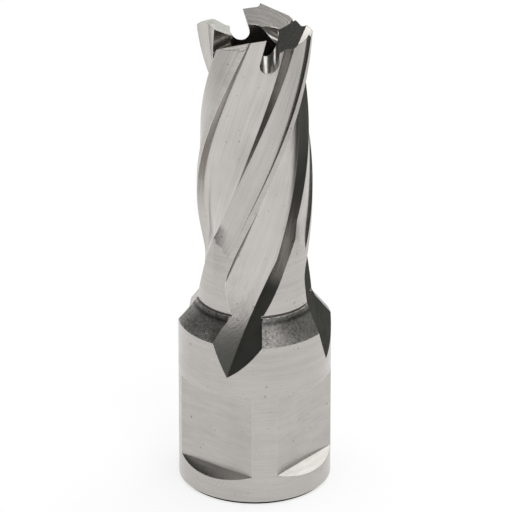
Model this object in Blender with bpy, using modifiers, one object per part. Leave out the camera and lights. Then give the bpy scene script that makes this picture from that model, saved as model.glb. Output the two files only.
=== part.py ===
"""Annular cutter, 14.3 mm cut, with a 19.05 mm two-flat shank.

One piece of high-speed steel. It stands on its shank with the teeth up and its axis on Z,
and the origin is the centre of the shank's end face. Seen from above it cuts counter-clockwise.
"""

import math

import bmesh
import bpy
from mathutils import Matrix, Vector

MM = 0.001

# Shank
SHANK_RADIUS = 9.525 * MM
SHANK_HEIGHT = 21.7 * MM
BASE_CHAMFER = 0.45 * MM

# Two flats for the side screws, a quarter turn apart
FLAT_DEPTH = 1.785 * MM
FLAT_BOTTOM = 3.9 * MM
FLAT_HEIGHT = 10.95 * MM
FLAT_LEDGE_FALL = math.radians(25.0)
FLAT_FIRST_ANGLE = math.radians(-127.6)
FLAT_SPACING = math.radians(90.0)

# Cone above the shank, with a small bead round its top
CONE_HEIGHT = 2.4 * MM
CONE_STEP = 0.4 * MM
BEAD_RADIUS = 0.33 * MM
BEAD_INSET = 0.35 * MM
BEAD_RISE = 0.28 * MM
BEAD_UNDERCUT = math.radians(35.0)

# Groove between the bead and the fluted body
GROOVE_HEIGHT = 0.25 * MM
GROOVE_DEPTH = 0.2 * MM

# Fluted body and through bore
BODY_RADIUS = 7.15 * MM
TOOTH_PEAK_HEIGHT = 61.15 * MM
BORE_RADIUS = 2.95 * MM
BORE_CHAMFER = 0.5 * MM
TURNED_STEPS = 96

# Right-hand helix that flutes and lands follow
TOOTH_COUNT = 4
HELIX_LEAD = 98.1 * MM
HELIX_LEAN = math.radians(24.9)
FLUTE_PHASE = math.radians(20.0)

# Flute section, square to the helix: a sloping floor between the rake wall and the heel wall
WEB_AT_HEEL_WALL = 1.955 * MM
WEB_AT_RAKE_WALL = 2.425 * MM
FLOOR_TO_RAKE_WALL = 2.4 * MM
FLOOR_TO_HEEL_WALL = 2.55 * MM
RAKE_WALL_LEAN = math.radians(22.9)
HEEL_WALL_LEAN = math.radians(34.2)
RAKE_WALL_FILLET = 0.9 * MM
FLUTE_STEP = 0.9 * MM

# The grinding wheel stops above the shank and leaves its own curve down into it
WHEEL_RADIUS = 35.4 * MM
WHEEL_STOP_HEIGHT = 32.6 * MM
WHEEL_RUN_OUT = 24.0 * MM

# Land behind each outer edge: a margin at full size, then a step down that falls to the heel
MARGIN_WIDTH = 0.8 * MM
LAND_RELIEF = 0.3 * MM
LAND_BACK_OFF = 0.08
LAND_RELIEF_WIDTH = 3.6 * MM
LAND_STOP_HEIGHT = 35.4 * MM
LAND_RUN_OUT = 8.0 * MM

# Tooth top: a peak on the outer edge, with faces falling to the bore and to the outside
STEEL_OVER_PEAKS = 0.2 * MM
PEAK_RADIUS = 6.35 * MM
PEAK_ANGLE = math.radians(-7.0)
INNER_FALL = math.radians(23.7)
INNER_RELIEF = math.radians(13.9)
OUTER_FALL = math.radians(31.5)
OUTER_RELIEF = math.radians(24.0)
TOP_FACE_INSET = 0.73 * MM

# Round-bottomed gullet through the web in front of each tooth
GULLET_RADIUS = 1.2 * MM
GULLET_PAST_BORE = 0.07 * MM
GULLET_DEPTH = 3.15 * MM
GULLET_FALL = math.radians(30.0)
GULLET_RAKE = math.radians(15.0)

# How far every cutting shape reaches past the steel that it removes
OVERCUT = 3.0 * MM
GULLET_OVERCUT = 0.5 * MM

# Faces that meet at more than this angle meet in an edge
EDGE_ANGLE = math.radians(22.0)

cone_top = SHANK_HEIGHT + CONE_HEIGHT
cone_top_radius = BODY_RADIUS + CONE_STEP
groove_bottom = cone_top + BEAD_RISE + BEAD_RADIUS
body_bottom = groove_bottom + GROOVE_HEIGHT
blank_top = TOOTH_PEAK_HEIGHT + STEEL_OVER_PEAKS
rake_foot = (-FLOOR_TO_RAKE_WALL, BORE_RADIUS + WEB_AT_RAKE_WALL)
heel_foot = (FLOOR_TO_HEEL_WALL, BORE_RADIUS + WEB_AT_HEEL_WALL)


def make_collection(name):
    """A new collection in the scene."""
    collection = bpy.data.collections.new(name)
    bpy.context.scene.collection.children.link(collection)
    return collection


def add_object(name, mesh, collection):
    """An object for a mesh, linked to one collection."""
    thing = bpy.data.objects.new(name, mesh)
    collection.objects.link(thing)
    return thing


def add_cutter(name, mesh, collection):
    """A cutting shape: drawn as wire and never rendered."""
    cutter = add_object(name, mesh, collection)
    cutter.hide_render = True
    cutter.display_type = "WIRE"
    return cutter


def arc(centre, radius, start, end, steps):
    """Points along an arc in a plane, both ends included."""
    points = []
    for index in range(steps + 1):
        angle = start + (end - start) * index / steps
        points.append((centre[0] + radius * math.cos(angle), centre[1] + radius * math.sin(angle)))
    return points


def turned_profile():
    """Half section of the turned blank: down the outside, in at the base, up the bore."""
    bead_centre = (cone_top_radius - BEAD_INSET, cone_top + BEAD_RISE)
    outside = [
        (BODY_RADIUS, blank_top),
        (BODY_RADIUS, body_bottom),
        (BODY_RADIUS - GROOVE_DEPTH, body_bottom - GROOVE_HEIGHT / 2),
        (BODY_RADIUS - GROOVE_DEPTH, groove_bottom),
    ]
    outside += arc(bead_centre, BEAD_RADIUS, math.pi / 2, -BEAD_UNDERCUT, 6)
    outside += [
        (cone_top_radius, cone_top),
        (SHANK_RADIUS, SHANK_HEIGHT),
        (SHANK_RADIUS, BASE_CHAMFER),
        (SHANK_RADIUS - BASE_CHAMFER, 0.0),
    ]
    inside = [
        (BORE_RADIUS + BORE_CHAMFER, 0.0),
        (BORE_RADIUS, BORE_CHAMFER),
        (BORE_RADIUS, blank_top),
    ]
    return outside + inside


def turned_blank(name, collection):
    """The blank as it leaves the lathe: the profile turned about Z."""
    profile = turned_profile()
    mesh = bpy.data.meshes.new(name)
    shape = bmesh.new()
    verts = [shape.verts.new((radius, 0.0, height)) for radius, height in profile]
    for index, vert in enumerate(verts):
        shape.edges.new((vert, verts[(index + 1) % len(verts)]))
    shape.to_mesh(mesh)
    shape.free()
    blank = add_object(name, mesh, collection)
    screw = blank.modifiers.new("turn", "SCREW")
    screw.axis = "Z"
    screw.steps = TURNED_STEPS
    screw.render_steps = TURNED_STEPS
    screw.use_merge_vertices = True
    screw.merge_threshold = 0.00001
    return blank


def keep_outward(shape):
    """Turn all the faces of a closed shape outward."""
    bmesh.ops.recalc_face_normals(shape, faces=shape.faces[:])
    if shape.calc_volume(signed=True) < 0.0:
        bmesh.ops.reverse_faces(shape, faces=shape.faces[:])


def prism_mesh(name, outline, reach):
    """A flat outline extruded along a vector."""
    mesh = bpy.data.meshes.new(name)
    shape = bmesh.new()
    face = shape.faces.new([shape.verts.new(point) for point in outline])
    grown = bmesh.ops.extrude_face_region(shape, geom=[face])
    moved = [item for item in grown["geom"] if isinstance(item, bmesh.types.BMVert)]
    bmesh.ops.translate(shape, vec=reach, verts=moved)
    keep_outward(shape)
    shape.to_mesh(mesh)
    shape.free()
    return mesh


def loft_mesh(name, sections):
    """A closed skin through sections that have the same number of points."""
    mesh = bpy.data.meshes.new(name)
    shape = bmesh.new()
    rings = [[shape.verts.new(point) for point in section] for section in sections]
    count = len(rings[0])
    for lower, upper in zip(rings, rings[1:]):
        for index in range(count):
            following = (index + 1) % count
            shape.faces.new((lower[index], lower[following], upper[following], upper[index]))
    shape.faces.new(rings[0])
    shape.faces.new(rings[-1])
    keep_outward(shape)
    shape.to_mesh(mesh)
    shape.free()
    return mesh


def helix_frame(height, phase):
    """Section frame at one height: its origin on the axis, then the ways across, out and along."""
    angle = phase + 2 * math.pi * (height - TOOTH_PEAK_HEIGHT) / HELIX_LEAD
    outward = Vector((math.cos(angle), math.sin(angle), 0.0))
    around = Vector((-math.sin(angle), math.cos(angle), 0.0))
    up = Vector((0.0, 0.0, 1.0))
    across = around * math.cos(HELIX_LEAN) - up * math.sin(HELIX_LEAN)
    along = around * math.sin(HELIX_LEAN) + up * math.cos(HELIX_LEAN)
    return Vector((0.0, 0.0, height)), across, outward, along


def place_section(outline, origin, across, outward):
    """An outline of (across, outward) pairs put into space."""
    return [origin + across * u + outward * v for u, v in outline]


def helix_sections(outline, phase, stop_height):
    """The outline carried down the helix from above the teeth to where the wheel stops."""
    start = blank_top + OVERCUT + SHANK_RADIUS * math.sin(HELIX_LEAN)
    steps = math.ceil((start - stop_height) / FLUTE_STEP)
    sections = []
    for index in range(steps + 1):
        height = start + (stop_height - start) * index / steps
        origin, across, outward, _ = helix_frame(height, phase)
        sections.append(place_section(outline, origin, across, outward))
    return sections


def run_out_sections(outline, phase, stop_height, depth, length):
    """The outline carried on round the rim of the wheel that stopped at that depth."""
    origin, across, outward, along = helix_frame(stop_height, phase)
    swing = WHEEL_RADIUS + depth
    wheel_centre = origin + outward * swing
    steps = math.ceil(length / FLUTE_STEP)
    sections = []
    for index in range(1, steps + 1):
        turn = length / swing * index / steps
        lifted = outward * math.cos(turn) + along * math.sin(turn)
        sections.append(place_section(outline, wheel_centre - lifted * swing, across, lifted))
    return sections


def wall_point(foot, lean, length):
    """The point reached by going up a leaning wall from its foot."""
    return foot[0] + length * math.sin(lean), foot[1] + length * math.cos(lean)


def rake_fillet():
    """The arc that joins the rake wall to the sloping floor."""
    floor_angle = math.atan2(heel_foot[1] - rake_foot[1], heel_foot[0] - rake_foot[0])
    wall_angle = math.pi / 2 + RAKE_WALL_LEAN
    middle = (floor_angle + wall_angle) / 2
    reach = RAKE_WALL_FILLET / math.sin((wall_angle - floor_angle) / 2)
    centre = (rake_foot[0] + reach * math.cos(middle), rake_foot[1] + reach * math.sin(middle))
    return arc(centre, RAKE_WALL_FILLET, wall_angle + math.pi / 2, floor_angle + math.pi * 1.5, 5)


def flute_mesh():
    """One flute: its helix, then the run-out that the wheel leaves below it."""
    wall_length = SHANK_RADIUS - heel_foot[1] + OVERCUT
    outline = [wall_point(rake_foot, -RAKE_WALL_LEAN, wall_length)]
    outline += rake_fillet()
    outline += [heel_foot, wall_point(heel_foot, HEEL_WALL_LEAN, wall_length)]
    sections = helix_sections(outline, FLUTE_PHASE, WHEEL_STOP_HEIGHT)
    sections += run_out_sections(
        outline, FLUTE_PHASE, WHEEL_STOP_HEIGHT, heel_foot[1], WHEEL_RUN_OUT
    )
    return loft_mesh("flute", sections)


def outer_edge_phase():
    """Angle from the flute's middle to the outer cutting edge, at one level."""
    near = 0.0
    far = SHANK_RADIUS
    for _ in range(40):
        middle = (near + far) / 2
        across, outward = wall_point(rake_foot, -RAKE_WALL_LEAN, middle)
        if math.hypot(across * math.cos(HELIX_LEAN), outward) < BODY_RADIUS:
            near = middle
        else:
            far = middle
    across, outward = wall_point(rake_foot, -RAKE_WALL_LEAN, near)
    in_section = math.atan2(across * math.cos(HELIX_LEAN), outward)
    return in_section + 2 * math.pi * across * math.sin(HELIX_LEAN) / HELIX_LEAD


def land_relief_mesh():
    """What is ground off one land, from the foot of its margin to past the heel."""
    phase = FLUTE_PHASE + outer_edge_phase() - MARGIN_WIDTH / BODY_RADIUS
    floor_radius = BODY_RADIUS - LAND_RELIEF
    sweep = LAND_RELIEF_WIDTH / floor_radius
    outline = []
    for x, y in arc((0.0, 0.0), floor_radius, math.pi / 2, math.pi / 2 + sweep, 8):
        outline.append((x / math.cos(HELIX_LEAN), y + LAND_BACK_OFF * x))
    for x, y in arc((0.0, 0.0), BODY_RADIUS + OVERCUT, math.pi / 2 + sweep, math.pi / 2, 4):
        outline.append((x / math.cos(HELIX_LEAN), y))
    sections = helix_sections(outline, phase, LAND_STOP_HEIGHT)
    sections += run_out_sections(outline, phase, LAND_STOP_HEIGHT, floor_radius, LAND_RUN_OUT)
    return loft_mesh("land_relief", sections)


def gullet_mesh():
    """A round-bottomed gullet through the web, for the tooth that points along -Y."""
    heel_side = BORE_RADIUS + GULLET_PAST_BORE
    centre_x = heel_side - GULLET_RADIUS
    bore_wall_y = -math.sqrt(BORE_RADIUS ** 2 - centre_x ** 2)
    centre_at_bore = TOOTH_PEAK_HEIGHT - GULLET_DEPTH + GULLET_RADIUS
    centre_z = centre_at_bore - bore_wall_y * math.tan(GULLET_FALL)
    fall_to_outside = (BODY_RADIUS + bore_wall_y) * math.tan(GULLET_FALL)
    wall_height = GULLET_DEPTH - GULLET_RADIUS + fall_to_outside + GULLET_OVERCUT
    bottom = arc((centre_x, centre_z), GULLET_RADIUS, math.pi - GULLET_RAKE, 2 * math.pi, 12)
    rake_top_x = bottom[0][0] + wall_height * math.tan(GULLET_RAKE)
    outline = [(rake_top_x, bottom[0][1] + wall_height)]
    outline += bottom
    outline += [(heel_side, bottom[0][1] + wall_height)]
    length = SHANK_RADIUS / math.cos(GULLET_FALL)
    reach = Vector((0.0, -math.cos(GULLET_FALL), -math.sin(GULLET_FALL))) * length
    return prism_mesh("gullet", [(x, 0.0, z) for x, z in outline], reach)


def tooth_top_mesh(name, radial_slope, around_slope):
    """What lies above one sloping face through the peak, for the tooth that points along +X."""
    peak_x = PEAK_RADIUS * math.cos(PEAK_ANGLE)
    peak_y = PEAK_RADIUS * math.sin(PEAK_ANGLE)
    slope_x = radial_slope * math.cos(PEAK_ANGLE) - around_slope * math.sin(PEAK_ANGLE)
    slope_y = radial_slope * math.sin(PEAK_ANGLE) + around_slope * math.cos(PEAK_ANGLE)
    near = BORE_RADIUS - TOP_FACE_INSET
    far = BODY_RADIUS + OVERCUT
    corners = [(near, near), (near, -far), (far, -far), (far, near)]
    foot = []
    for x, y in corners:
        foot.append((x, y, TOOTH_PEAK_HEIGHT + slope_x * (x - peak_x) + slope_y * (y - peak_y)))
    roof = max(z for _, _, z in foot) + OVERCUT
    return loft_mesh(name, [foot, [(x, y, roof) for x, y in corners]])


def flat_mesh():
    """What one side-screw flat removes, for a flat that faces +X, with a sloping ledge below it."""
    depth = SHANK_RADIUS - FLAT_DEPTH
    far = SHANK_RADIUS + OVERCUT
    ledge_end = FLAT_BOTTOM - (far - depth) * math.tan(FLAT_LEDGE_FALL)
    top = FLAT_BOTTOM + FLAT_HEIGHT
    section = [(depth, FLAT_BOTTOM), (far, ledge_end), (far, top), (depth, top)]
    outline = [(x, -far, z) for x, z in section]
    return prism_mesh("flat", outline, Vector((0.0, 2 * far, 0.0)))


def cut(body, cutter, solver):
    """Take one cutting shape away from the body."""
    modifier = body.modifiers.new(cutter.name, "BOOLEAN")
    modifier.operation = "DIFFERENCE"
    modifier.solver = solver
    modifier.object = cutter


def cut_round(body, mesh, collection, angles, solver="EXACT"):
    """Cut the same shape at several angles about the axis."""
    for number, angle in enumerate(angles, start=1):
        cutter = add_cutter(f"{mesh.name}_{number}", mesh, collection)
        cutter.matrix_world = Matrix.Rotation(angle, 4, "Z")
        cut(body, cutter, solver)


def shade(body):
    """Keep the ground shape as the body's own mesh, smooth but for its edges."""
    evaluated = body.evaluated_get(bpy.context.evaluated_depsgraph_get())
    ground = bpy.data.meshes.new_from_object(evaluated)
    body.modifiers.clear()
    body.data = ground
    ground.shade_smooth()
    ground.set_sharp_from_angle(angle=EDGE_ANGLE)


def steel(name):
    """Bare ground high-speed steel."""
    material = bpy.data.materials.new(name)
    material.use_nodes = True
    shader = material.node_tree.nodes["Principled BSDF"]
    shader.inputs["Base Color"].default_value = (0.56, 0.54, 0.52, 1.0)
    shader.inputs["Metallic"].default_value = 1.0
    shader.inputs["Roughness"].default_value = 0.3
    return material


def build():
    """Turn the blank, then grind it as the real one is ground."""
    for leftover in list(bpy.data.objects):
        bpy.data.objects.remove(leftover, do_unlink=True)
    parts = make_collection("annular_cutter")
    cutters = make_collection("cutting_shapes")
    body = turned_blank("cutter_body", parts)
    body.data.materials.append(steel("high_speed_steel"))

    quarter_turns = [2 * math.pi * index / TOOTH_COUNT for index in range(TOOTH_COUNT)]
    cut_round(body, flat_mesh(), cutters, [FLAT_FIRST_ANGLE, FLAT_FIRST_ANGLE + FLAT_SPACING])
    cut_round(body, flute_mesh(), cutters, quarter_turns)
    cut_round(body, land_relief_mesh(), cutters, quarter_turns)
    cut_round(body, gullet_mesh(), cutters, quarter_turns, "MANIFOLD")
    inner = tooth_top_mesh("tooth_top", math.tan(INNER_FALL), math.tan(INNER_RELIEF))
    cut_round(body, inner, cutters, quarter_turns, "MANIFOLD")
    outer = tooth_top_mesh("outer_bevel", -math.tan(OUTER_FALL), math.tan(OUTER_RELIEF))
    cut_round(body, outer, cutters, quarter_turns, "MANIFOLD")
    shade(body)


build()
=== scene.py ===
"""Looks of the annular cutter: its ground steel, the sheet it stands on, the light and the camera."""

import math

import bpy
from mathutils import Matrix, Vector


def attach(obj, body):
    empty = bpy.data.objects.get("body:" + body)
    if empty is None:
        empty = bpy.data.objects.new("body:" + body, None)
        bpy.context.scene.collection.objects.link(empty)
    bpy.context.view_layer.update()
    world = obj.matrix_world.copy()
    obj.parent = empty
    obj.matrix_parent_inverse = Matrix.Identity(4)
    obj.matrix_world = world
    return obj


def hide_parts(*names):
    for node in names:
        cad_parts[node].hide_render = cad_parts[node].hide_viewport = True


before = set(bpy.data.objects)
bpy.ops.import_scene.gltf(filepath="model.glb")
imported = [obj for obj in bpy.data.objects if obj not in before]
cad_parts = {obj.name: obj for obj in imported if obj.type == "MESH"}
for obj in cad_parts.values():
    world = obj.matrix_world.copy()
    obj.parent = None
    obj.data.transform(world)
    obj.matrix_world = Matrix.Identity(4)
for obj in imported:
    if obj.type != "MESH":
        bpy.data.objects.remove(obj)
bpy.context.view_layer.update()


# Turned blank
# The cutter starts as a bar of high-speed steel that is turned and bored right through in a lathe.
# The shank, the cone with its bead and groove, and the body that gets the flutes are all one piece.

MM = 0.001
MERGE_GAP = 0.001 * MM
SHANK_RADIUS = 9.525 * MM
SHANK_HEIGHT = 21.7 * MM
BASE_CHAMFER = 0.45 * MM
CONE_HEIGHT = 2.4 * MM
CONE_STEP = 0.4 * MM
BEAD_HEIGHT = 0.61 * MM
BEAD_LEAN = math.radians(24.0)
BEAD_ROUND = 0.16 * MM
BEAD_STEPS = 8
GROOVE_HEIGHT = 0.25 * MM
GROOVE_DEPTH = 0.2 * MM
BODY_RADIUS = 7.15 * MM
PEAK_HEIGHT = 61.15 * MM
STEEL_OVER_PEAKS = 0.2 * MM
BORE_RADIUS = 2.95 * MM
BORE_CHAMFER = 0.5 * MM
TURNED_SIDES = 288

cone_top = SHANK_HEIGHT + CONE_HEIGHT
cone_top_radius = BODY_RADIUS + CONE_STEP
groove_bottom = cone_top + BEAD_HEIGHT
body_bottom = groove_bottom + GROOVE_HEIGHT
blank_top = PEAK_HEIGHT + STEEL_OVER_PEAKS


def select_only(piece):
    """Leave one piece selected and active, so that the next tool works on it alone."""
    bpy.ops.object.select_all(action="DESELECT")
    bpy.context.view_layer.objects.active = piece
    piece.select_set(True)


def arc(centre, radius, start, end, steps):
    """Points along an arc in a plane, both ends included."""
    points = []
    for index in range(steps + 1):
        angle = start + (end - start) * index / steps
        points.append((centre[0] + radius * math.cos(angle), centre[1] + radius * math.sin(angle)))
    return points


def outline(name, corners):
    """A closed outline: a ring with a point for each corner, each point moved to its corner."""
    bpy.ops.object.select_all(action="DESELECT")
    bpy.ops.mesh.primitive_circle_add(vertices=len(corners), fill_type="NOTHING")
    ring = bpy.context.object
    ring.name = name
    for vertex, corner in zip(ring.data.vertices, corners):
        vertex.co = corner
    return ring


def apply_all(piece):
    """Apply the piece's modifiers in their order."""
    select_only(piece)
    for modifier in list(piece.modifiers):
        bpy.ops.object.modifier_apply(modifier=modifier.name)


def face_outward(piece):
    """Merge the doubles of a closed shape and turn all its faces outward."""
    select_only(piece)
    bpy.ops.object.mode_set(mode="EDIT")
    bpy.ops.mesh.select_all(action="SELECT")
    bpy.ops.mesh.remove_doubles(threshold=MERGE_GAP)
    bpy.ops.mesh.normals_make_consistent(inside=False)
    bpy.ops.object.mode_set(mode="OBJECT")


def turn(name, profile, sides):
    """Turn a closed half section of (radius, height) points about the axis."""
    ring = outline(name, [(radius, 0.0, height) for radius, height in profile])
    lathe = ring.modifiers.new("turned", "SCREW")
    lathe.steps = sides
    lathe.render_steps = sides
    lathe.use_merge_vertices = True
    lathe.merge_threshold = MERGE_GAP
    apply_all(ring)
    face_outward(ring)
    return ring


bead_centre_height = groove_bottom - BEAD_ROUND
bead_face_radius = cone_top_radius - (bead_centre_height - cone_top) * math.tan(BEAD_LEAN)
bead_centre = (bead_face_radius - BEAD_ROUND / math.cos(BEAD_LEAN), bead_centre_height)
blank_profile = [
    (BODY_RADIUS, blank_top),
    (BODY_RADIUS, body_bottom),
    (BODY_RADIUS - GROOVE_DEPTH, body_bottom - GROOVE_HEIGHT / 2),
    (BODY_RADIUS - GROOVE_DEPTH, groove_bottom),
]
blank_profile += arc(bead_centre, BEAD_ROUND, math.pi / 2, BEAD_LEAN, BEAD_STEPS)
blank_profile += [(cone_top_radius, cone_top), (SHANK_RADIUS, SHANK_HEIGHT)]
blank_profile += [(SHANK_RADIUS, BASE_CHAMFER), (SHANK_RADIUS - BASE_CHAMFER, 0.0)]
blank_profile += [(BORE_RADIUS + BORE_CHAMFER, 0.0), (BORE_RADIUS, BORE_CHAMFER)]
blank_profile += [(BORE_RADIUS, blank_top)]
cutter = turn("ground_cutter", blank_profile, TURNED_SIDES)


# Turned and rough finishes
# The cutter is one bare steel, and each tool that worked it left its own marks; its edges are painted
# brighter, partly rubbed wear and partly painted highlight.
# The lathe's fine rings run round the shank and the body, and the cone and its bead stay rough and dark.

STEEL_COLOUR = (0.545, 0.52, 0.495, 1.0)
HELIX_LEAD = 98.1 * MM
HELIX_TURN = 2 * math.pi / HELIX_LEAD
NODE_SPACING = 200.0

# Scales are in spots to a metre, and most of the noise lies between the low and the high shade.
FINE_DETAIL = 3.0
BROAD_DETAIL = 4.0
BROAD_SHARE = 0.5
SMUDGE_SCALE = 260.0
SMUDGE_DETAIL = 2.0
SMUDGE_SHARE = 0.3
SPECK_SCALE = 2600.0
SPECK_DETAIL = 0.0
SPECK_START = 0.82
SPECK_FULL = 0.85
SPECK_TONE = 0.6
SHADE_LOW = 0.35
SHADE_HIGH = 0.65
ROUGHNESS_SPREAD = 0.15

# Likeness compares the surface's own way with its way if the edge were rounded: 1 where it is plain.
EDGE_ROUNDING = 0.09 * MM
EDGE_SAMPLES = 6
EDGE_LIKENESS = 0.88
PLAIN_LIKENESS = 0.99
EDGE_BRIGHTNESS = 1.7

# The crease where the bead meets the cone gets painted shade: the colour darkens near its height.
CREASE_REACH = 0.35 * MM
CREASE_SHADE_TONE = 0.3

# How the marks' pattern is squeezed: a small share along a way draws the marks out that way.
EVEN = (1.0, 1.0, 1.0)
DRAWN_LEVEL = (0.04, 0.04, 1.0)
DRAWN_UPRIGHT = (1.0, 1.0, 0.035)


def add_node(tree, kind, inputs, **settings):
    """A shader node. Each named input is linked to the socket or set to the value that is given for it."""
    node = tree.nodes.new(kind)
    node.location.x = NODE_SPACING * len(tree.nodes)
    for setting, value in settings.items():
        setattr(node, setting, value)
    for name, value in inputs.items():
        if isinstance(value, bpy.types.NodeSocket):
            tree.links.new(value, node.inputs[name])
        else:
            node.inputs[name].default_value = value
    return node


def calculate(tree, operation, *values):
    """The result of one operation on one or two values."""
    return add_node(tree, "ShaderNodeMath", dict(enumerate(values)), operation=operation).outputs["Value"]


def carry(tree, value, low, high, new_low, new_high, way="LINEAR"):
    """A value carried from one span to another, held at the ends."""
    inputs = {"Value": value, "From Min": low, "From Max": high, "To Min": new_low, "To Max": new_high}
    return add_node(tree, "ShaderNodeMapRange", inputs, interpolation_type=way).outputs["Result"]


def mix(tree, share, first, second, **settings):
    """A mix of two values or colours."""
    inputs = {"Factor": share, "A": first, "B": second}
    return add_node(tree, "ShaderNodeMix", inputs, **settings).outputs["Result"]


def noise(tree, place, scale, detail):
    """Plain noise at one scale."""
    inputs = {"Vector": place, "Scale": scale, "Detail": detail}
    return add_node(tree, "ShaderNodeTexNoise", inputs).outputs["Fac"]


def from_axis(tree, parts):
    """Distance from the cutter's axis, from the parts of a place."""
    level = add_node(tree, "ShaderNodeCombineXYZ", {"X": parts["X"], "Y": parts["Y"]}).outputs["Vector"]
    return add_node(tree, "ShaderNodeVectorMath", {0: level}, operation="LENGTH").outputs["Value"]


def new_group(name, inputs, outputs):
    """An empty node group with its named inputs and outputs, each with its kind of socket."""
    group = bpy.data.node_groups.new(name, "ShaderNodeTree")
    for socket, kind in inputs.items():
        group.interface.new_socket(socket, in_out="INPUT", socket_type=kind)
    for socket, kind in outputs.items():
        group.interface.new_socket(socket, in_out="OUTPUT", socket_type=kind)
    return group


def tool_marks_group():
    """Tool marks and handling marks, put out as a shade, a height and a mask of fine dark specks."""
    number = "NodeSocketFloat"
    place = "NodeSocketVector"
    inputs = {"Drawn Place": place, "Place": place, "Fine": number, "Broad": number}
    group = new_group("tool_marks", inputs, {"Shade": number, "Height": number, "Specks": number})
    given = add_node(group, "NodeGroupInput", {}).outputs
    fine = noise(group, given["Drawn Place"], given["Fine"], FINE_DETAIL)
    broad = noise(group, given["Drawn Place"], given["Broad"], BROAD_DETAIL)
    smudges = noise(group, given["Place"], SMUDGE_SCALE, SMUDGE_DETAIL)
    dots = noise(group, given["Place"], SPECK_SCALE, SPECK_DETAIL)
    marks = mix(group, BROAD_SHARE, fine, broad)
    shade = mix(group, SMUDGE_SHARE, marks, smudges)
    specks = carry(group, dots, SPECK_START, SPECK_FULL, 0.0, 1.0)
    add_node(group, "NodeGroupOutput", {"Shade": shade, "Height": fine, "Specks": specks})
    return group


def edge_wear_and_highlight_group():
    """Wear and painted highlight on sharp edges: how much brighter the steel's colour is painted there,
    and the rounded normal.
    """
    inputs = {"Radius": "NodeSocketFloat"}
    group = new_group("edge_wear_and_highlight", inputs, {"Rub_And_Highlight": "NodeSocketFloat", "Normal": "NodeSocketVector"})
    given = add_node(group, "NodeGroupInput", {}).outputs
    rounded = add_node(group, "ShaderNodeBevel", {"Radius": given["Radius"]}, samples=EDGE_SAMPLES)
    surface = add_node(group, "ShaderNodeNewGeometry", {})
    normals = {0: rounded.outputs["Normal"], 1: surface.outputs["Normal"]}
    likeness = add_node(group, "ShaderNodeVectorMath", normals, operation="DOT_PRODUCT").outputs["Value"]
    rub_and_highlight = carry(group, likeness, EDGE_LIKENESS, PLAIN_LIKENESS, EDGE_BRIGHTNESS, 1.0)
    add_node(group, "NodeGroupOutput", {"Rub_And_Highlight": rub_and_highlight, "Normal": rounded.outputs["Normal"]})
    return group


tool_marks = tool_marks_group()
edge_wear_and_highlight = edge_wear_and_highlight_group()


def straight_place(tree, run, place, parts):
    """The place in the cutter, unwound so that marks that run this way on it come out straight."""
    if run == "along the helix":
        turn_back = calculate(tree, "MULTIPLY", parts["Z"], -HELIX_TURN)
        inputs = {"Vector": place, "Angle": turn_back}
        return add_node(tree, "ShaderNodeVectorRotate", inputs, rotation_type="Z_AXIS").outputs["Vector"]
    if run == "round the axis":
        inputs = {"X": parts["X"], "Y": parts["Y"], "Z": from_axis(tree, parts)}
        return add_node(tree, "ShaderNodeCombineXYZ", inputs).outputs["Vector"]
    return place


def ground_steel(name, run, stretch, fine, broad, tone, contrast, roughness, depth, crease_height=None):
    """Bare steel with tool marks: how they run, how fine they are and how strongly they show."""
    material = bpy.data.materials.new(name)
    material.use_nodes = True
    tree = material.node_tree
    tree.nodes.clear()
    place = add_node(tree, "ShaderNodeTexCoord", {}).outputs["Object"]
    parts = add_node(tree, "ShaderNodeSeparateXYZ", {"Vector": place}).outputs
    straight = straight_place(tree, run, place, parts)
    drawn = add_node(tree, "ShaderNodeMapping", {"Vector": straight, "Scale": stretch}).outputs["Vector"]
    given = {"Drawn Place": drawn, "Place": place, "Fine": fine, "Broad": broad}
    marks = add_node(tree, "ShaderNodeGroup", given, node_tree=tool_marks).outputs
    wear_and_highlight = add_node(tree, "ShaderNodeGroup", {"Radius": EDGE_ROUNDING}, node_tree=edge_wear_and_highlight).outputs
    bright = carry(tree, marks["Shade"], SHADE_LOW, SHADE_HIGH, 1.0 - contrast, 1.0 + contrast)
    clean = carry(tree, marks["Specks"], 0.0, 1.0, tone, tone * SPECK_TONE)
    bright = calculate(tree, "MULTIPLY", bright, clean)
    # Painted shade: the colour darkens towards the crease between the bead and the cone.
    if crease_height is not None:
        above = calculate(tree, "SUBTRACT", parts["Z"], crease_height)
        painted_crease_shade = carry(tree, calculate(tree, "ABSOLUTE", above), 0.0, CREASE_REACH, CREASE_SHADE_TONE, 1.0)
        bright = calculate(tree, "MULTIPLY", bright, painted_crease_shade)
    # Edges are painted brighter: partly rubbed wear, partly painted highlight.
    bright = calculate(tree, "MULTIPLY", bright, wear_and_highlight["Rub_And_Highlight"])
    colour = mix(tree, 1.0, STEEL_COLOUR, bright, data_type="RGBA", blend_type="MULTIPLY")
    dull = roughness * (1.0 + ROUGHNESS_SPREAD)
    polished = roughness * (1.0 - ROUGHNESS_SPREAD)
    rough = carry(tree, marks["Shade"], SHADE_LOW, SHADE_HIGH, dull, polished)
    relief = {"Distance": depth, "Height": marks["Height"], "Normal": wear_and_highlight["Normal"]}
    normal = add_node(tree, "ShaderNodeBump", relief).outputs["Normal"]
    surface = {"Base Color": colour, "Metallic": 1.0, "Roughness": rough, "Normal": normal}
    shader = add_node(tree, "ShaderNodeBsdfPrincipled", surface)
    add_node(tree, "ShaderNodeOutputMaterial", {"Surface": shader.outputs["BSDF"]})
    return material


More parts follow.
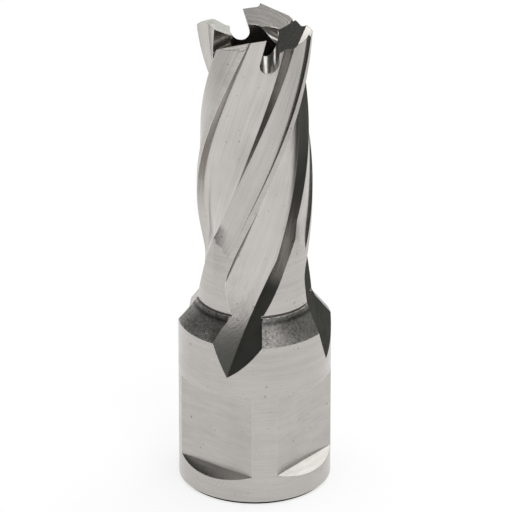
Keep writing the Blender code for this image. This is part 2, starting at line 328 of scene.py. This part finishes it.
turned_steel = ground_steel(
    "turned_steel", run="as it lies", stretch=DRAWN_LEVEL, fine=6000.0, broad=1500.0,
    tone=0.90, contrast=0.06, roughness=0.27, depth=0.005 * MM,
)
rough_steel = ground_steel(
    "rough_steel", run="as it lies", stretch=EVEN, fine=6500.0, broad=2500.0,
    tone=0.9, contrast=0.75, roughness=0.31, depth=0.06 * MM, crease_height=cone_top,
)
cutter.data.materials.append(turned_steel)
cutter.data.materials.append(rough_steel)
rough_slot = cutter.data.materials.find("rough_steel")
for polygon in cutter.data.polygons:
    if SHANK_HEIGHT < polygon.center.z < groove_bottom and polygon.center.xy.length > BODY_RADIUS:
        polygon.material_index = rough_slot


# Side-screw flats
# Two flats are milled a quarter turn apart, where the holder's side screws press.
# Each ends below in a ledge that slopes outward, the shape that the milling tool's edge leaves.

FLAT_DEPTH = 1.785 * MM
FLAT_BOTTOM = 3.9 * MM
FLAT_HEIGHT = 10.95 * MM
FLAT_LEDGE_FALL = math.radians(25.0)
FLAT_FIRST_ANGLE = math.radians(-127.6)
FLAT_SPACING = math.radians(90.0)
OVERCUT = 3.0 * MM


def extrude_outline(ring, reach):
    """Fill an outline, draw it out along a vector and close the shape."""
    select_only(ring)
    bpy.ops.object.mode_set(mode="EDIT")
    bpy.ops.mesh.select_mode(type="EDGE")
    bpy.ops.mesh.select_all(action="SELECT")
    bpy.ops.mesh.edge_face_add()
    bpy.ops.mesh.extrude_region_move(TRANSFORM_OT_translate={"value": reach})
    bpy.ops.object.mode_set(mode="OBJECT")
    face_outward(ring)
    return ring


def cut_at(tool, angles):
    """Cut the same shape out of the cutter at several angles. The cut faces keep the shape's finish."""
    copies = []
    for angle in angles:
        select_only(tool)
        bpy.ops.object.duplicate()
        copy = bpy.context.object
        copy.data.transform(Matrix.Rotation(angle, 4, "Z"))
        cut = cutter.modifiers.new(copy.name, "BOOLEAN")
        cut.operation = "DIFFERENCE"
        cut.solver = "EXACT"
        cut.material_mode = "TRANSFER"
        cut.object = copy
        copies.append(copy)
    apply_all(cutter)
    for used in [tool, *copies]:
        bpy.data.objects.remove(used, do_unlink=True)


flat_steel = ground_steel(
    "flat_steel", run="as it lies", stretch=(0.1, 0.1, 1.0), fine=5000.0, broad=1300.0,
    tone=0.85, contrast=0.08, roughness=0.22, depth=0.006 * MM,
)
flat_floor = SHANK_RADIUS - FLAT_DEPTH
flat_far = SHANK_RADIUS + OVERCUT
flat_top = FLAT_BOTTOM + FLAT_HEIGHT
ledge_end = FLAT_BOTTOM - (flat_far - flat_floor) * math.tan(FLAT_LEDGE_FALL)
flat_section = [
    (flat_floor, FLAT_BOTTOM),
    (flat_far, ledge_end),
    (flat_far, flat_top),
    (flat_floor, flat_top),
]
flat_tool = outline("flat_tool", [(x, -flat_far, z) for x, z in flat_section])
extrude_outline(flat_tool, (0.0, 2 * flat_far, 0.0))
flat_tool.data.materials.append(flat_steel)
cut_at(flat_tool, [FLAT_FIRST_ANGLE, FLAT_FIRST_ANGLE + FLAT_SPACING])


# Flutes
# Four right-hand flutes carry the chips away. A grinding wheel sweeps each one along the helix,
# then stops and leaves its own curve down through the cone into the shank.

TOOTH_COUNT = 4
HELIX_LEAN = math.radians(24.9)
FLUTE_PHASE = math.radians(20.0)
WEB_AT_HEEL_WALL = 1.955 * MM
WEB_AT_RAKE_WALL = 2.425 * MM
FLOOR_TO_RAKE_WALL = 2.4 * MM
FLOOR_TO_HEEL_WALL = 2.55 * MM
RAKE_WALL_LEAN = math.radians(22.9)
HEEL_WALL_LEAN = math.radians(34.2)
HEEL_WALL_SPREAD = math.radians(50.0)
RAKE_WALL_FILLET = 0.9 * MM
RAKE_FILLET_STEPS = 10
HEEL_WALL_FILLET = 0.12 * MM
HEEL_FILLET_STEPS = 4
WHEEL_RADIUS = 35.4 * MM
WHEEL_STOP_HEIGHT = 32.6 * MM
WHEEL_RUN_OUT = 24.0 * MM
SWEEP_STEP = 0.3 * MM

quarter_turns = [2 * math.pi * index / TOOTH_COUNT for index in range(TOOTH_COUNT)]
rake_foot = Vector((-FLOOR_TO_RAKE_WALL, BORE_RADIUS + WEB_AT_RAKE_WALL))
heel_foot = Vector((FLOOR_TO_HEEL_WALL, BORE_RADIUS + WEB_AT_HEEL_WALL))


def helix_frame(height, phase):
    """Section frame at one height: its origin on the axis, then the ways across and out."""
    angle = phase + HELIX_TURN * (height - PEAK_HEIGHT)
    outward = Vector((math.cos(angle), math.sin(angle), 0.0))
    around = Vector((-math.sin(angle), math.cos(angle), 0.0))
    up = Vector((0.0, 0.0, 1.0))
    across = around * math.cos(HELIX_LEAN) - up * math.sin(HELIX_LEAN)
    return Vector((0.0, 0.0, height)), across, outward


def sweep(name, section, phase, stop_height, depth, run_out):
    """Sweep a section down the helix to where the wheel stopped, then round the wheel's rim."""
    origin, across, outward = helix_frame(stop_height, phase)
    ring = outline(name, [origin + across * u + outward * v for u, v in section])
    climb = blank_top + OVERCUT + SHANK_RADIUS * math.sin(HELIX_LEAN) - stop_height
    helix = ring.modifiers.new("helix", "SCREW")
    helix.angle = HELIX_TURN * climb
    helix.screw_offset = climb
    helix.steps = math.ceil(climb / SWEEP_STEP)
    helix.render_steps = helix.steps
    apply_all(ring)
    bpy.ops.object.mode_set(mode="EDIT")
    bpy.ops.mesh.select_mode(type="VERT")
    bpy.ops.mesh.select_all(action="DESELECT")
    bpy.ops.object.mode_set(mode="OBJECT")
    for vertex in ring.data.vertices[:len(section)]:
        vertex.select = True
    bpy.ops.object.mode_set(mode="EDIT")
    swing = WHEEL_RADIUS + depth
    bpy.ops.mesh.spin(
        steps=math.ceil(run_out / SWEEP_STEP / 2),
        angle=run_out / swing,
        center=origin + outward * swing,
        axis=across,
    )
    bpy.ops.mesh.select_all(action="SELECT")
    bpy.ops.mesh.fill_holes(sides=0)
    bpy.ops.object.mode_set(mode="OBJECT")
    face_outward(ring)
    return ring


def wall_point(foot, lean, length):
    """The point reached by going up a leaning wall from its foot."""
    return foot + Vector((math.sin(lean), math.cos(lean))) * length


def rounded_corner(before, corner, after, radius, steps):
    """The arc that rounds the corner between two stretches of an outline."""
    back = (before - corner).normalized()
    on = (after - corner).normalized()
    half = back.angle(on) / 2
    centre = corner + (back + on).normalized() * (radius / math.sin(half))
    first = corner + back * (radius / math.tan(half)) - centre
    last = corner + on * (radius / math.tan(half)) - centre
    turned = first.angle_signed(last)
    return [centre + Matrix.Rotation(-turned * index / steps, 2) @ first for index in range(steps + 1)]


flute_steel = ground_steel(
    "flute_steel", run="along the helix", stretch=DRAWN_UPRIGHT, fine=5200.0, broad=1400.0,
    tone=1.0, contrast=0.07, roughness=0.24, depth=0.014 * MM,
)
# The heel walls are the flutes' own ground steel; their darker tone is painted shade.
shaded_heel_steel = ground_steel(
    "shaded_heel_steel", run="along the helix", stretch=DRAWN_UPRIGHT, fine=5200.0, broad=2400.0,
    tone=0.78, contrast=0.30, roughness=0.24, depth=0.012 * MM,
)
wall_length = SHANK_RADIUS - heel_foot.y + OVERCUT
rake_top = wall_point(rake_foot, -RAKE_WALL_LEAN, wall_length)
heel_top = wall_point(heel_foot, HEEL_WALL_LEAN, wall_length)
flute_section = [rake_top]
flute_section += rounded_corner(rake_top, rake_foot, heel_foot, RAKE_WALL_FILLET, RAKE_FILLET_STEPS)
flute_section += rounded_corner(rake_foot, heel_foot, heel_top, HEEL_WALL_FILLET, HEEL_FILLET_STEPS)
flute_section += [heel_top]
flute_tool = sweep("flute_tool", flute_section, FLUTE_PHASE, WHEEL_STOP_HEIGHT, heel_foot.y, WHEEL_RUN_OUT)
flute_tool.data.materials.append(flute_steel)
flute_tool.data.materials.append(shaded_heel_steel)
heel_slot = flute_tool.data.materials.find("shaded_heel_steel")
for polygon in flute_tool.data.polygons:
    _, across, _ = helix_frame(max(polygon.center.z, WHEEL_STOP_HEIGHT), FLUTE_PHASE)
    if polygon.normal.dot(across) > math.cos(HEEL_WALL_SPREAD):
        polygon.material_index = heel_slot
cut_at(flute_tool, quarter_turns)


# Lands
# Behind each outer edge a narrow margin keeps the full size. The land behind it is ground a little
# lower and falls away to the heel, and the grind fades out before the flutes end.

MARGIN_WIDTH = 0.8 * MM
LAND_RELIEF = 0.3 * MM
LAND_BACK_OFF = 0.08
LAND_RELIEF_WIDTH = 3.6 * MM
LAND_STOP_HEIGHT = 35.4 * MM
LAND_RUN_OUT = 8.0 * MM
LAND_FLOOR_STEPS = 24
LAND_ROOF_STEPS = 8
HALVINGS = 40


def outer_edge_phase():
    """Angle from the flute's middle to the outer cutting edge at one level, found by halving a span."""
    near = 0.0
    far = SHANK_RADIUS
    for _ in range(HALVINGS):
        middle = (near + far) / 2
        across, outward = wall_point(rake_foot, -RAKE_WALL_LEAN, middle)
        if math.hypot(across * math.cos(HELIX_LEAN), outward) < BODY_RADIUS:
            near = middle
        else:
            far = middle
    across, outward = wall_point(rake_foot, -RAKE_WALL_LEAN, near)
    in_section = math.atan2(across * math.cos(HELIX_LEAN), outward)
    return in_section + HELIX_TURN * across * math.sin(HELIX_LEAN)


land_steel = ground_steel(
    "land_steel", run="along the helix", stretch=DRAWN_UPRIGHT, fine=5200.0, broad=1400.0,
    tone=0.95, contrast=0.08, roughness=0.26, depth=0.010 * MM,
)
land_phase = FLUTE_PHASE + outer_edge_phase() - MARGIN_WIDTH / BODY_RADIUS
land_radius = BODY_RADIUS - LAND_RELIEF
land_start = math.pi / 2
land_end = land_start + LAND_RELIEF_WIDTH / land_radius
land_floor = arc((0.0, 0.0), land_radius, land_start, land_end, LAND_FLOOR_STEPS)
land_roof = arc((0.0, 0.0), BODY_RADIUS + OVERCUT, land_end, land_start, LAND_ROOF_STEPS)
land_section = [(x / math.cos(HELIX_LEAN), y + LAND_BACK_OFF * x) for x, y in land_floor]
land_section += [(x / math.cos(HELIX_LEAN), y) for x, y in land_roof]
land_tool = sweep("land_tool", land_section, land_phase, LAND_STOP_HEIGHT, land_radius, LAND_RUN_OUT)
land_tool.data.materials.append(land_steel)
cut_at(land_tool, quarter_turns)


# Crown
# Each tooth is backed off on its outer and inner face from a peak near the outer edge.
# A round-bottomed gullet in front of it lets the chips out through the web.

PEAK_RADIUS = 6.35 * MM
PEAK_ANGLE = math.radians(-7.0)
INNER_FALL = math.radians(23.7)
INNER_RELIEF = math.radians(13.9)
OUTER_FALL = math.radians(31.5)
OUTER_RELIEF = math.radians(24.0)
TOP_FACE_INSET = 0.73 * MM
GULLET_RADIUS = 1.2 * MM
GULLET_PAST_BORE = 0.07 * MM
GULLET_DEPTH = 3.15 * MM
GULLET_FALL = math.radians(30.0)
GULLET_RAKE = math.radians(15.0)
GULLET_OVERCUT = 0.5 * MM
GULLET_STEPS = 40

gullet_steel = ground_steel(
    "gullet_steel", run="as it lies", stretch=EVEN, fine=3000.0, broad=900.0,
    tone=0.95, contrast=0.10, roughness=0.24, depth=0.002 * MM,
)
heel_side = BORE_RADIUS + GULLET_PAST_BORE
gullet_x = heel_side - GULLET_RADIUS
bore_wall_y = -math.sqrt(BORE_RADIUS ** 2 - gullet_x ** 2)
gullet_z = PEAK_HEIGHT - GULLET_DEPTH + GULLET_RADIUS - bore_wall_y * math.tan(GULLET_FALL)
fall_to_outside = (BODY_RADIUS + bore_wall_y) * math.tan(GULLET_FALL)
gullet_wall = GULLET_DEPTH - GULLET_RADIUS + fall_to_outside + GULLET_OVERCUT
gullet_bottom = arc((gullet_x, gullet_z), GULLET_RADIUS, math.pi - GULLET_RAKE, 2 * math.pi, GULLET_STEPS)
rake_side, rake_start_z = gullet_bottom[0]
gullet_top_z = rake_start_z + gullet_wall
gullet_outline = [(rake_side + gullet_wall * math.tan(GULLET_RAKE), gullet_top_z)]
gullet_outline += gullet_bottom
gullet_outline += [(heel_side, gullet_top_z)]
gullet_tool = outline("gullet_tool", [(x, 0.0, z) for x, z in gullet_outline])
gullet_way = Vector((0.0, -math.cos(GULLET_FALL), -math.sin(GULLET_FALL)))
extrude_outline(gullet_tool, gullet_way * SHANK_RADIUS / math.cos(GULLET_FALL))
gullet_tool.data.materials.append(gullet_steel)
cut_at(gullet_tool, quarter_turns)

tooth_steel = ground_steel(
    "tooth_steel", run="round the axis", stretch=(0.08, 0.08, 1.0), fine=4200.0, broad=1500.0,
    tone=1.0, contrast=0.30, roughness=0.28, depth=0.012 * MM,
)


def cut_tooth_faces(name, radial_slope, around_slope):
    """Cut away what lies above one sloping face through the peak, on every tooth."""
    peak_x = PEAK_RADIUS * math.cos(PEAK_ANGLE)
    peak_y = PEAK_RADIUS * math.sin(PEAK_ANGLE)
    slope_x = radial_slope * math.cos(PEAK_ANGLE) - around_slope * math.sin(PEAK_ANGLE)
    slope_y = radial_slope * math.sin(PEAK_ANGLE) + around_slope * math.cos(PEAK_ANGLE)
    near = BORE_RADIUS - TOP_FACE_INSET
    far = BODY_RADIUS + OVERCUT
    face = []
    for x, y in [(near, near), (near, -far), (far, -far), (far, near)]:
        face.append((x, y, PEAK_HEIGHT + slope_x * (x - peak_x) + slope_y * (y - peak_y)))
    tool = outline(name, face)
    extrude_outline(tool, (0.0, 0.0, 2 * SHANK_RADIUS))
    tool.data.materials.append(tooth_steel)
    cut_at(tool, quarter_turns)


cut_tooth_faces("inner_face_tool", math.tan(INNER_FALL), math.tan(INNER_RELIEF))
cut_tooth_faces("outer_face_tool", -math.tan(OUTER_FALL), math.tan(OUTER_RELIEF))


# Finished cutter
# The steel is hardened and left bare. Its turned and ground faces are smooth up to every sharp edge,
# and the piece takes the place of the plain solid.

EDGE_ANGLE = math.radians(20.0)

select_only(cutter)
bpy.ops.object.shade_smooth_by_angle(angle=EDGE_ANGLE)

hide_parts("cutter_body")
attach(cutter, "root")


# Floor
# A white sheet under the cutter, with a soft shadow. What the steel mirrors of it is bright round the
# cutter and straight behind it, dim at the sides, and painted in full shade where the shank stands on it.

FLOOR_SIZE = 4.0
FLOOR_SHADOW_SHARE = 0.25
SHEET_SIDE = 0.12
SHEET_FADE = 0.15
SHEET_COLOUR = (0.9, 0.9, 0.9, 1.0)
WHITE = (1.0, 1.0, 1.0, 1.0)

bpy.ops.object.select_all(action="DESELECT")
bpy.ops.mesh.primitive_plane_add(size=FLOOR_SIZE)
floor = bpy.context.object
floor.name = "floor"
paper = bpy.data.materials.new("white_paper")
paper.use_nodes = True
tree = paper.node_tree
tree.nodes.clear()
place = add_node(tree, "ShaderNodeTexCoord", {}).outputs["Object"]
parts = add_node(tree, "ShaderNodeSeparateXYZ", {"Vector": place}).outputs
sideways = calculate(tree, "ABSOLUTE", parts["X"])
sheet = carry(tree, sideways, SHEET_SIDE + SHEET_FADE, SHEET_SIDE, 0.0, 1.0, "SMOOTHSTEP")
# Painted shadow: what the steel mirrors of the sheet is dark under the shank.
outside_painted_shadow = calculate(tree, "GREATER_THAN", from_axis(tree, parts), SHANK_RADIUS)
mirrored = calculate(tree, "MULTIPLY", sheet, outside_painted_shadow)
rays = add_node(tree, "ShaderNodeLightPath", {}).outputs
shown = calculate(tree, "MAXIMUM", mirrored, rays["Is Camera Ray"])
sight = calculate(tree, "MAXIMUM", rays["Is Camera Ray"], rays["Is Glossy Ray"])
sight = calculate(tree, "MAXIMUM", sight, rays["Is Transmission Ray"])
share = calculate(tree, "MULTIPLY", sight, 1.0 - FLOOR_SHADOW_SHARE)
matt = add_node(tree, "ShaderNodeBsdfDiffuse", {"Color": SHEET_COLOUR}).outputs["BSDF"]
bright = add_node(tree, "ShaderNodeEmission", {"Color": WHITE, "Strength": shown}).outputs["Emission"]
seen = add_node(tree, "ShaderNodeMixShader", {"Fac": share, 1: matt, 2: bright}).outputs["Shader"]
add_node(tree, "ShaderNodeOutputMaterial", {"Surface": seen})
floor.data.materials.append(paper)


# Light
# The room is dim: darker on the left, a little lighter on the right, and bright low down behind the
# cutter. Soft boxes hang over it: a large one to the right, a strip to the front and a small one to
# the left, and a broad one that lights the sheet alone.

ROOM_TINT = (0.94, 1.0, 0.93, 1.0)
LEFT_SHADE = 0.06
RIGHT_SHADE = 0.12
LEFT_END = -0.3
RIGHT_END = 0.6
BACK_SHADE = 1.1
BACK_NARROW = 0.70
BACK_FULL = 0.92
BACK_TOP = 0.34
BACK_BODY = 0.14
BOX_HEIGHT = 0.8
SHEET_LIGHT_HEIGHT = 1.0

world = bpy.data.worlds.new("dim_room")
bpy.context.scene.world = world
world.use_nodes = True
tree = world.node_tree
tree.nodes.clear()
way = add_node(tree, "ShaderNodeTexCoord", {}).outputs["Generated"]
parts = add_node(tree, "ShaderNodeSeparateXYZ", {"Vector": way}).outputs
sides = carry(tree, parts["X"], LEFT_END, RIGHT_END, LEFT_SHADE, RIGHT_SHADE, "SMOOTHSTEP")
behind = carry(tree, parts["Y"], BACK_NARROW, BACK_FULL, 0.0, 1.0, "SMOOTHSTEP")
low = carry(tree, parts["Z"], BACK_TOP, BACK_BODY, 0.0, 1.0, "SMOOTHSTEP")
glow = calculate(tree, "MULTIPLY", calculate(tree, "MULTIPLY", behind, low), BACK_SHADE)
room = calculate(tree, "MAXIMUM", sides, glow)
rays = add_node(tree, "ShaderNodeLightPath", {}).outputs
strength = calculate(tree, "MAXIMUM", room, rays["Is Camera Ray"])
tint = mix(tree, rays["Is Camera Ray"], ROOM_TINT, WHITE, data_type="RGBA")
sky = add_node(tree, "ShaderNodeBackground", {"Color": tint, "Strength": strength}).outputs["Background"]
add_node(tree, "ShaderNodeOutputWorld", {"Surface": sky})


def soft_box(name, start, end, width, brightness, height=BOX_HEIGHT):
    """A soft box that hangs level between two points, faces down and looks this bright from below."""
    start = Vector((*start, height))
    end = Vector((*end, height))
    along = end - start
    light = bpy.data.lights.new(name, "AREA")
    light.shape = "RECTANGLE"
    light.size = width
    light.size_y = along.length
    light.energy = brightness * math.pi * width * along.length
    box = bpy.data.objects.new(name, light)
    bpy.context.scene.collection.objects.link(box)
    box.location = (start + end) / 2
    box.rotation_euler = (0.0, 0.0, math.atan2(along.y, along.x) - math.pi / 2)
    return box


soft_box("right_box", start=(0.55, 0.08), end=(0.55, 0.90), width=0.60, brightness=1.8)
soft_box("front_strip", start=(0.15, -0.90), end=(0.25, -0.20), width=0.14, brightness=6.0)
soft_box("left_box", start=(-0.74, 0.08), end=(-0.74, 0.50), width=0.35, brightness=1.8)
sheet_light = soft_box(
    "sheet_light", start=(0.0, -0.5), end=(0.0, 0.5), width=1.0, brightness=3.3, height=SHEET_LIGHT_HEIGHT
)
sheet_light.visible_glossy = False


# Camera
# A long lens well in front of the cutter, a little above it and looking down.
# It shows the cutter standing upright in a square picture.

CAMERA_PLACE = (0.1645 * MM, -666.5 * MM, 340.39 * MM)
CAMERA_PITCH = 0.436
SENSOR_WIDTH = 36.0
FOCAL_PIXELS = 5927.6
FRAME_PIXELS = 512
CLIP_START = 0.01
CLIP_END = 10.0

lens = bpy.data.cameras.new("camera")
lens.sensor_width = SENSOR_WIDTH
lens.lens = FOCAL_PIXELS / FRAME_PIXELS * SENSOR_WIDTH
lens.clip_start = CLIP_START
lens.clip_end = CLIP_END
camera = bpy.data.objects.new("camera", lens)
camera.location = CAMERA_PLACE
camera.rotation_euler = (math.pi / 2 - CAMERA_PITCH, 0.0, 0.0)
bpy.context.scene.collection.objects.link(camera)
bpy.context.scene.camera = camera
bpy.context.scene.view_settings.view_transform = "Standard"
